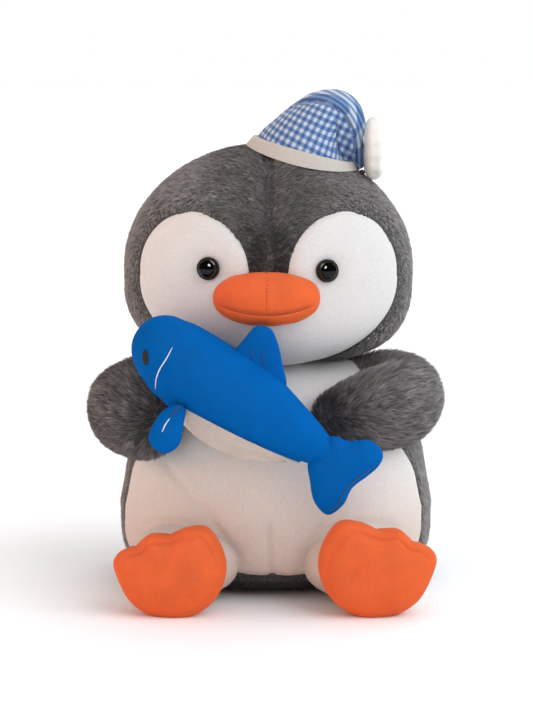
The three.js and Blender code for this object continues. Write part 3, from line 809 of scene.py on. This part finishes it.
def add_stage():
    add_floor()
    add_world()
    add_light("key", (1.0, -0.8, 1.1), 50, 1.08, (0.97, 0.985, 1.0))
    add_light("top", (0.3, 0.3, 1.0), 70, 0.75, (1, 1, 1))
    add_light("back", (0.3, 1.0, 0.5), 60, 0.6, (1, 1, 1))
    add_light("right_rim", (1.0, -0.05, 0.35), 45, 0.85, (0.90, 0.95, 1.0))
    add_light("left_rim", (-1.0, -0.15, 0.25), 45, 1.15, (1.0, 0.46, 0.24))
    add_light("warm_front", (-0.5, -1.0, 0.15), 60, 0.5, (1.0, 0.62, 0.38))
    add_light("window", (-0.05, -0.82, 0.57), 22, 5.0, (1, 1, 1), seen_in_gloss=True, lights_cloth=False)
    bpy.context.scene.view_settings.view_transform = "Standard"


# ---- Head ----

def seam_tuck(edge):
    """How deep a panel is pulled in beside its seam, edge being the distance from it."""
    return 1.5 * ridge(edge, 2.0) + 0.8 * ridge(edge, 6)


def face_piece():
    base = on_ball(84, lambda ball: head_form(ball, PANEL_INSET))
    part = base.kept(np.where(base.points[:, 2] > 119, face_distance(base.points), -10))
    edge = face_distance(part.points)
    dimples = sum(2.2 * ridge(np.hypot(part.points[:, 0] - x, part.points[:, 2] - z), 9) for x, z in EYES)
    puckers = 0.25 * lumps(part.points, 9, 31) * ridge(edge, 9)
    part = part.pushed(-seam_tuck(edge) - dimples + puckers + 0.5 * lumps(part.points, 40, 32))
    make("face_panel_cloth", part, "head", "white_plush", [WHITE_CLOTH], ["face_panel"], fill=0.9)


def head_flow(points):
    x, y, z = (points - HEAD["centre"]).T
    turn = np.arctan2(np.abs(x), z)
    side = np.where(x < 0, -1, 1) * np.clip(np.abs(x) / 1.5, 0.25, 1)
    out = np.cos(turn) * side
    down = -np.sin(turn) * fade(np.abs(x), 6, 60)
    lift = 0.45 * ridge(x, 16) * fade(-y, -5, 20)
    back = fade(y, 0, 45)
    return np.stack([out, 0 * x, down + lift - back * 0.8], axis=1)


def head_pieces():
    skin = on_ball(44, lambda ball: head_form(ball, FUR_INSET))
    parting = ridge(skin.points[:, 0], 2.0) * fade(skin.points[:, 2], 176, 196)
    skin = skin.pushed(-1.0 * parting - 7 * fade(face_distance(skin.points), 1.5, 8))
    make("head_skin", skin, "head", "grey_fur", [SKIN],
         ["head_fur", "head_stuffing", "eye_washer_left", "eye_washer_right"], fill=0.9)
    cap_axis = cap_frame()[3]

    def keep(points):
        offset = points - CAP_CENTRE
        beside = np.linalg.norm(offset - np.outer(offset @ cap_axis, cap_axis), axis=1)
        under_cap = (beside < CAP_RADIUS + 1) & (offset @ cap_axis > -20)
        low = (points[:, 2] < 125) & (np.hypot(points[:, 0], points[:, 1]) < 30)
        return (face_distance(points) < 0.5) & ~under_cap & ~low

    # Painted shade: hairs darker along the parting's groove and over the wedge between the eyes.
    def shadow(points):
        x, y, z = points.T
        parting = 1.3 * ridge(x, 1.5) * fade(z, 180, 205)
        wedge = 3.0 * ridge(x, 17) * fade(-z, -208, -180)
        return -(parting + wedge) * (y < 20)

    fur("head", skin, "head", keep, head_flow, PILE["head"], seed=11, parts=5, shade_by=shadow,
        white=face_distance)


def beak_pieces():
    form = on_ball(40, lambda ball: round_form(ball, BEAK))
    middle_x = BEAK["centre"][0]

    def mouth_height(x):
        return MOUTH_Z + MOUTH_RISE * ((x - middle_x) / MOUTH_HALF) ** 2

    above = form.points[:, 2] - mouth_height(form.points[:, 0])
    middle = form.points[:, 0] - middle_x
    open_part = fade(-np.abs(middle), -27.5, -20)
    form = form.pushed(-(0.8 * ridge(above, 0.8) + 0.4 * ridge(above, 3)) * open_part)
    form.points[:, 1] -= 0.9 * fade(above, 0, 3) * ridge(middle, 22)
    centre_seam = 0.4 * ridge(middle, 0.8) * fade(above, 0, 4)
    form = form.pushed(-centre_seam + 0.18 * lumps(form.points, 7, 41))
    above = form.points[:, 2] - mouth_height(form.points[:, 0])
    upper, lower = form.kept(above), form.kept(-above)
    make("beak_upper_cloth", upper, "head", "orange_plush", [ORANGE_CLOTH], ["beak_upper", "beak_stuffing"],
         fill=0.9)
    make("beak_lower_cloth", lower, "head", "orange_plush", [ORANGE_CLOTH], ["beak_lower"], fill=0.9)

    tree = form.tree()
    hits = [front_hit(tree, middle_x, z) for z in np.arange(MOUTH_Z + 3.5, BEAK["centre"][2] + 12.5, 1.75)]
    stitches = [dab(hit[0] + hit[1] * 0.05, (0.28, 0.25, 0.6), hit[1], divisions=4) for hit in hits if hit]
    make("beak_stitches", joined(*stitches), "head", "orange_plush", [DARK_STITCH])
    spots = [(x, mouth_height(x)) for x in middle_x + np.linspace(-25, 25, 15)]
    make("mouth_seam", thread(laid_on(tree, spots, 0.05), 0.32), "head", "orange_plush", [DARK_STITCH])


def eye_pieces():
    for (x, z), name in zip(EYES, ("left", "right")):
        ball, faces = ball_grid(20)
        surface = Surface(ball, faces).kept(0.25 - ball[:, 1])
        sized = surface.points * (EYE_RADIUS, 4.9, EYE_RADIUS)
        spread = np.hypot(sized[:, 0], sized[:, 2])
        sized[:, 1] += 0.55 * ridge(spread - 4.6, 0.45)
        out = x - HEAD["centre"][0]
        share = math.hypot(out / (HEAD["width"] / 2), (z - HEAD["centre"][2]) / HEAD["up"])
        depth = -HEAD["front"] * math.sqrt(1 - share * share) + 1.2
        turn = math.atan2(out / (HEAD["width"] / 2) ** 2, -depth / HEAD["front"] ** 2)
        tilt = math.atan2((z - HEAD["centre"][2]) / HEAD["up"] ** 2, -depth / HEAD["front"] ** 2)
        c, s, ct, st = math.cos(turn), math.sin(turn), math.cos(-tilt), math.sin(-tilt)
        sized = sized @ np.array([(1, 0, 0), (0, ct, st), (0, -st, ct)])
        sized = sized @ np.array([(c, s, 0), (-s, c, 0), (0, 0, 1)])
        dome = Surface(sized + (x, depth, z), surface.faces)
        middle = np.array([spread[list(face)].mean() for face in dome.faces])
        ring = ((middle > 4.5) & (middle < 5.6)).astype(int)
        make(f"eye_{name}_dome", dome, "head", "eye_gloss", [EYE_BLACK, EYE_RING], [f"eye_{name}"],
             material_index=ring)


# ---- Torso ----

def leg_surface(side, divisions):
    path = [(MIDDLE_X + side * x, y, z) for x, y, z in LEG_PATH]
    return on_ball(divisions, lambda ball: limb_form(ball, path, LEG_WIDTH, LEG_HEIGHT))


def whale_surface(divisions):
    rise = np.array(WHALE_RISE, float)
    depth = rise * WHALE_DEPTH
    return on_ball(divisions, lambda ball: limb_form(ball, WHALE_PATH, depth, rise, fullness=2.2))


def distances(points, tree):
    """How far each point is from a surface, up to a reach."""
    reach = 20.0
    found = []
    for point in points:
        _, _, _, distance = tree.find_nearest(Vector(point), reach)
        found.append(reach if distance is None else distance)
    return np.array(found)


def groove(points, line):
    """How deep a soft crease along a line in x and z presses in, dying out towards both ends."""
    shares = np.linspace(0, 1, 60)
    spots = spline(line, shares)
    apart = np.hypot(points[:, None, 0] - spots[None, :, 0], points[:, None, 2] - spots[None, :, 1])
    close = apart.argmin(axis=1)
    strength = np.sin(math.pi * np.clip(shares[close], 0.03, 0.97)) ** 0.7
    return strength * (1.7 * ridge(apart.min(axis=1), 2) + 0.8 * ridge(apart.min(axis=1), 10))


def belly_piece(leg_trees, whale_tree):
    base = on_ball(84, lambda ball: torso_form(ball, PANEL_INSET))
    part = base.kept(belly_distance(base.points))
    edge = belly_distance(part.points)
    x, y, z = part.points.T
    sway = MIDDLE_X + 0.8 * np.sin(z / 7)
    centre_seam = (1.6 * ridge(x - sway, 0.9) + 0.8 * ridge(x - sway, 6)) * fade(-z, -50, -38)
    crease = sum(1.0 * ridge(distances(part.points, tree), 3.5) for tree in leg_trees)
    crease = crease + sum(groove(part.points, line) for line in THIGH_CREASES)
    dent = 1.5 * ridge(distances(part.points, whale_tree), 6)
    near_legs = sum(ridge(distances(part.points, tree), 14) for tree in leg_trees)
    puckers = 0.18 * lumps(part.points * (1.6, 1, 0.7), 9, 51) * np.clip(near_legs + ridge(edge, 10), 0, 1)
    pressed = seam_tuck(edge) + centre_seam + crease + dent
    part = part.pushed(-pressed + puckers + 0.7 * lumps(part.points, 34, 52))
    make("belly_panel_cloth", part, "torso", "white_plush", [BELLY_CLOTH], ["belly_panel"], fill=0.9)
    return part


def torso_flow(points):
    x, y, z = (points - TORSO["centre"]).T
    return np.stack([x * 0.004, y * 0.004, -np.ones(len(x))], axis=1)


def torso_pieces():
    skin = on_ball(44, lambda ball: torso_form(ball, FUR_INSET))
    skin = skin.pushed(-8 * fade(belly_distance(skin.points), 1.5, 9))
    make("body_skin", skin, "torso", "grey_fur", [SKIN], ["body_fur", "body_stuffing", "neck_stuffing"],
         fill=0.8)

    def keep(points):
        x, y, z = points.T
        front = belly_distance(points) > 0.5
        hidden_base = (z < FUR_INSET + 0.5) & (np.hypot(x / 78, y / 62) < 0.80)
        under_head = (z > 108) & (np.hypot(x, y) < 34)
        return ~front & ~hidden_base & ~under_head

    # Painted shade: the front hairs darken towards the floor, under the belly.
    def shadow(points):
        return -3.0 * fade(-points[:, 2], -20, -9) * (points[:, 1] < 0)

    fur("body", skin, "torso", keep, torso_flow, PILE["body"], seed=21, parts=4, shade_by=shadow,
        white=belly_distance)


# ---- Arms ----

def arm_skin(side):
    tip, elbow, drop = ARM_TIPS[side], ARM_ELBOWS[side], ARM_DROPS[side]
    path = ((31, 2, 106), (62, -9, 106 - drop / 2), (elbow, -34, 102.5 - drop),
            ((elbow + tip) / 2 + 4, -54, 99 - drop), (tip, -60, 96))
    path = [(MIDDLE_X + side * x, y, z) for x, y, z in path]
    return on_ball(30, lambda ball: limb_form(ball, path, ARM_WIDTH, ARM_HEIGHT, FUR_INSET))


def arm_pieces():
    for side, name in ((-1, "left"), (1, "right")):
        skin = arm_skin(side)
        inner = np.array((MIDDLE_X + side * (ARM_TIPS[side] + 4), -66, 96))
        make(f"arm_{name}_skin", skin, f"arm_{name}", "grey_fur", [SKIN],
             [f"arm_fur_{name}", f"arm_stuffing_{name}"], fill=0.8)

        def flow(points, inner=inner):
            away = points - inner
            return away * (1, 0.5, 1)

        def keep(points, side=side):
            return (points[:, 0] - MIDDLE_X) * side > 20

        # Painted shade: hairs darker around the inner fold near the tip, and darker all over, the left arm
        # more than the right.
        def shadow(points, inner=inner, side=side):
            away = points - inner
            fold = ridge(np.hypot(away[:, 0] * 0.4, away[:, 2]), 11) * (points[:, 1] < -30)
            return -1.3 * fold - (2.2 if side < 0 else 1.3)

        fur(f"arm_{name}", skin, f"arm_{name}", keep, flow, PILE["arm"], seed=61 + side, parts=2,
            shade_by=shadow, gather=0.6, contrast=1.5)


# ---- Legs and feet ----

def leg_pieces(belly_tree):
    for side, name in ((-1, "left"), (1, "right")):
        leg = leg_surface(side, 44)
        leg = leg.moved(lambda points: np.maximum(points, (-999, -999, 0.6)))
        near = distances(leg.points, belly_tree)
        front = fade(-leg.points[:, 1], 40, 60)
        leg = leg.pushed(-0.8 * ridge(near, 3.5) + 0.2 * lumps(leg.points * (1, 0.5, 1), 10, 71) * front
                         + 0.4 * lumps(leg.points, 30, 72))
        make(f"leg_{name}_cloth", leg, f"leg_{name}", "white_plush", [BELLY_CLOTH],
             [f"leg_cover_{name}", f"leg_stuffing_{name}"], fill=0.8)
        foot_piece(side, name)


def placed_foot(points, side):
    turn = side * math.radians(FOOT["toe_out"])
    x = points[:, 0] * side
    c, s = math.cos(turn), math.sin(turn)
    spun = np.stack([x * c - points[:, 1] * s, x * s + points[:, 1] * c, points[:, 2]], axis=1)
    placed = spun * FOOT_SCALE[side] + (MIDDLE_X + side * FOOT_X[side], FOOT["y"], FOOT_Z[side])
    placed[:, 2] = np.maximum(placed[:, 2], 0.2)
    return placed


def foot_piece(side, name):
    form = on_ball(56, lambda ball: cushion_form(ball, FOOT_OUTLINE, FOOT["thickness"], 2.9))
    seam_y = -FOOT["thickness"] * 0.36
    height = form.points[:, 1] - seam_y
    toes = fade(form.points[:, 2], 0, 12)
    seam = (0.9 * ridge(height, 0.8) + 0.5 * ridge(height, 2.4)) * toes
    front = form.points[:, 1] < seam_y
    reach = np.hypot(form.points[:, 0] / 30, form.points[:, 2] / 25)
    pillow = 1.4 * (1 - np.clip(reach, 0, 1) ** 2) * front
    puckers = 0.22 * lumps(form.points, 5, 81) * ridge(height, 6) * toes
    form = puffed(form, np.abs(height) < 0.7, growth=0.0, most=0.8)
    form = form.pushed(-seam + pillow + puckers + 0.25 * lumps(form.points, 16, 82))
    value = seam_y - form.points[:, 1]
    sole, upper = form.kept(value), form.kept(-value)
    for part, surface in (("sole", sole), ("upper", upper)):
        surface.points = placed_foot(surface.points, side)
        surface = Surface(surface.points, [face if side > 0 else face[::-1] for face in surface.faces])
        nodes = [f"foot_{part}_{name}"] + ([f"foot_stuffing_{name}"] if part == "upper" else [])
        make(f"foot_{part}_{name}_cloth", surface, f"leg_{name}", "orange_plush", [ORANGE_CLOTH], nodes,
             fill=0.9)


# ---- Nightcap ----

def cap_frame():
    """The middle of the cap's rim, and the directions right, ahead and up on its tilt."""
    up = np.array((math.sin(CAP_LEAN), 0, math.cos(CAP_LEAN)))
    right = np.array((math.cos(CAP_LEAN), 0, -math.sin(CAP_LEAN)))
    return np.array(CAP_CENTRE, float), right, np.array((0, 1.0, 0)), up


def band_piece():
    centre, right, ahead, up = cap_frame()
    tree = on_ball(40, lambda ball: head_form(ball, FUR_INSET - 2.5)).tree()
    around_steps, profile_steps = 96, 14
    along, around, faces = tube_grid(profile_steps, around_steps)
    turn = around * 2 * math.pi
    bottoms = []
    for angle in np.arange(around_steps) / around_steps * 2 * math.pi:
        spoke = right * math.cos(angle) + ahead * math.sin(angle)
        start = centre + spoke * (CAP_RADIUS + 2.5) + up * 40
        hit, _, _, _ = tree.ray_cast(Vector(start), Vector(-up))
        bottoms.append(float((np.array(hit) - centre) @ up) - CAP_BAND_SINK if hit else -18.0)
    bottom = np.array(bottoms)[(around * around_steps).round().astype(int) % around_steps]
    profile = spline(BAND_PROFILE, along)
    level = bottom + (CAP_BAND_RISE - bottom) * np.clip(profile[:, 1], 0, 1.02)
    radius = CAP_RADIUS + profile[:, 0] + 0.25 * np.sin(turn * 5 + 1)
    spokes = right * np.cos(turn)[:, None] + ahead * np.sin(turn)[:, None]
    points = centre + spokes * radius[:, None] + up * level[:, None]
    band = Surface(points, faces)
    shown = make("hat_band_cloth", band, "head", "cream_cotton", [CREAM_CLOTH], ["hat_band"])


def beyond_fold(points):
    """How far each point lies outside the edge where the cap's tip folds over, and how far along it."""
    last = 119
    samples = spline([(x, 0, z) for x, z in FOLD_EDGE], np.linspace(0, 1, last + 1))
    place = nearest(points * (1, 0, 1), samples)
    ahead = unit(samples[np.minimum(place + 1, last)] - samples[np.maximum(place - 1, 0)])
    offset = points * (1, 0, 1) - samples[place]
    over = offset[:, 2] * ahead[:, 0] - offset[:, 0] * ahead[:, 2]
    return over, place * 0.9


def cone_piece():
    rows, columns = 100, 128
    along, around, faces = tube_grid(rows, columns)
    middle = spline(CONE_PATH, along)
    side = unit(np.cross(heading(CONE_PATH, along), (0, 1, 0)))
    turn = around * 2 * math.pi
    radius = spline(CONE_RADII, along)
    folds = lumps(np.stack([np.cos(turn) * 20, np.sin(turn) * 20, along * 60], axis=1), 9, 91)
    pleats = np.sin(turn * 9 + along * 9)
    radius = radius + 0.9 * folds * fade(along, 0.12, 0.4) + 0.8 * pleats * fade(along, 0.5, 0.8)
    depth = radius + spline(CONE_DEPTHS, along) - spline(CONE_RADII, along)
    points = middle + side * (np.cos(turn) * radius)[:, None]
    points[:, 1] += np.sin(turn) * depth
    over, run = beyond_fold(points)
    crease = 1.3 * ridge(over - 0.4, 0.9) * (points[:, 1] < 0) * fade(points[:, 0], 2, 14)
    cone = Surface(points, faces[:, ::-1]).pushed(-crease + 0.5 * fade(over, 0.5, 1.5) * (points[:, 1] < 0))

    from_front = (turn - 1.5 * math.pi + math.pi) % (2 * math.pi) - math.pi
    opened = middle + side * (from_front * (radius + depth) / 2)[:, None]
    bias = CAP_LEAN + CLOTH_BIAS
    across = opened[:, 0] * math.cos(bias) - opened[:, 2] * math.sin(bias)
    upward = opened[:, 0] * math.sin(bias) + opened[:, 2] * math.cos(bias)
    turned_over = (over > 0.6) & (points[:, 1] < 4)
    layout = np.stack([np.where(turned_over, run * 0.12 + points[:, 1] * 0.45, across),
                       np.where(turned_over, over * 1.8, upward)], axis=1)
    shown = make("hat_cone_cloth", cone, "head", "gingham", [GINGHAM], ["hat_cone"], layout=layout)


def pompom_piece():
    ball, faces = ball_grid(48)
    angle = np.arctan2(ball[:, 2], ball[:, 1])
    ruffle = 1 + 0.03 * np.sin(angle * 5 + 0.6) + 0.015 * np.sin(angle * 9)
    spread = np.hypot(ball[:, 1], ball[:, 2])
    power = POMPOM["power"]
    reach = (spread ** power + np.abs(ball[:, 0]) ** power) ** (-1 / power)
    wide = ruffle * reach * POMPOM["diameter"] / 2
    points = ball * np.stack([reach * POMPOM["thickness"] / 2, wide, wide], axis=1)
    form = Surface(points + POMPOM["centre"], faces)
    form = form.pushed(0.25 * np.sin(angle * 14) * spread ** 4 + 0.4 * lumps(form.points, 5, 95))
    make("hat_pompom_plush", form, "pompom", "white_plush", [POMPOM_CLOTH], ["hat_pompom"], fill=0.6)


# ---- Whale ----

def whale_pieces():
    whale = whale_surface(64)
    slope = WHALE_SEAM["slope"]
    across = np.array((math.sin(slope), 0, math.cos(slope)))

    def above_seam(points):
        return (points - (WHALE_SEAM["x"], 0, WHALE_SEAM["z"])) @ across + 9 * fade(-points[:, 0], 44, 56)

    whale = puffed(whale, np.abs(above_seam(whale.points)) < 0.9, growth=0.03, most=1.3)
    above = above_seam(whale.points)
    seam = ridge(above, 1.0) + 0.8 * ridge(above, 4)
    whale = whale.pushed(-seam + 0.5 * lumps(whale.points, 30, 101))
    above = above_seam(whale.points)
    back, belly = whale.kept(above), whale.kept(-above)
    make("whale_back_cloth", back, "whale", "blue_plush", [BLUE_CLOTH], ["whale_back", "whale_stuffing"],
         fill=0.95)
    make("whale_belly_cloth", belly, "whale", "whale_white", [WHALE_WHITE], ["whale_belly"], fill=0.95)

    tree = whale.tree()
    for facing, name in ((-1, "near"), (1, "far")):
        spot, normal = front_hit(tree, *WHALE_EYE, facing)
        eye = dab(spot + normal * 0.1, (2.1, 0.7, 4.1), normal, divisions=12)
        make(f"whale_eye_{name}_satin", eye, "whale", "black_thread", [BLACK_THREAD], [f"whale_eye_{name}"])
        curve = laid_on(tree, spline(WHALE_MOUTH, np.linspace(0, 1, 12)), 0.25, facing)
        make(f"whale_mouth_{name}_thread", thread(curve, 0.34), "whale", "white_thread", [WHITE_THREAD],
             [f"whale_mouth_{name}"])
    fin = fin_piece("whale_dorsal_fin", FIN_OUTLINE, (-5, -80.5, 125), 8, "whale")
    fluke = fin_piece("whale_fluke", FLUKE_OUTLINE, (36.5, -89, 74), 14, "whale")
    flipper = fin_piece("whale_flipper_near", FLIPPER_OUTLINE, (-51, -102, 98.5), 7, "whale_flipper", 7.5)
    slits = joined(*(front_line(fin, slit, 0.3) for slit in FIN_SLITS))
    seam = front_line(fluke, FLUKE_SEAM, 0.38)
    slit = front_line(flipper, FLIPPER_SLIT, 0.45)
    stitch = front_line(flipper, FLIPPER_STITCH, 0.32)
    make("whale_fin_slits", slits, "whale", "blue_plush", [SLIT_THREAD])
    make("whale_fluke_seam", seam, "whale", "blue_plush", [SLIT_THREAD])
    make("whale_flipper_slit", slit, "whale_flipper", "blue_plush", [SLIT_THREAD])
    make("whale_flipper_stitch", stitch, "whale_flipper", "white_thread", [WHITE_THREAD])
    path = ((-44, -57, 110), (-36, -55, 117), (-27, -54, 126))
    form = on_ball(28, lambda ball: limb_form(ball, path, (3.2, 4.2, 4.0), (5, 10.5, 9.5), fullness=2.6))
    make("whale_flipper_far_cloth", form, "whale", "blue_plush", [BLUE_CLOTH], ["whale_flipper_far"],
         fill=0.8)


def fin_piece(node, outline, centre, thickness, body, lean=0.0):
    """A flat stuffed fin of two cloths sewn along the outline; its top leans back by lean."""
    form = on_ball(40, lambda ball: cushion_form(ball, outline, thickness, 2.4))
    form = form.pushed(-0.8 * ridge(form.points[:, 1], 0.7) + 0.3 * lumps(form.points, 12, 105))
    form.points[:, 1] += lean * fade(form.points[:, 2], -2, 12)
    form = form.moved(lambda points: points + centre)
    make(f"{node}_cloth", form, body, "blue_plush", [BLUE_CLOTH], [node], fill=0.8)
    return form


def front_line(surface, line, radius):
    """A thread along a line in x and z, laid on the side of the surface that faces forward."""
    return thread(laid_on(surface.tree(), spline(line, np.linspace(0, 1, 10)), radius * 0.2), radius)


# ---- The whole scene ----

add_camera()
add_stage()
whale_near = whale_surface(24)
leg_near = [leg_surface(side, 24) for side in (-1, 1)]
belly = belly_piece([leg.tree() for leg in leg_near], whale_near.tree())
torso_pieces()
head_pieces()
face_piece()
beak_pieces()
eye_pieces()
arm_pieces()
leg_pieces(belly.tree())
band_piece()
cone_piece()
pompom_piece()
whale_pieces()
make("hat_tack_stitch", dab((50.4, -7, 222), (1.6, 1.2, 1.6)), "head", "black_thread", [BLACK_THREAD],
     ["hat_tack_knot"])
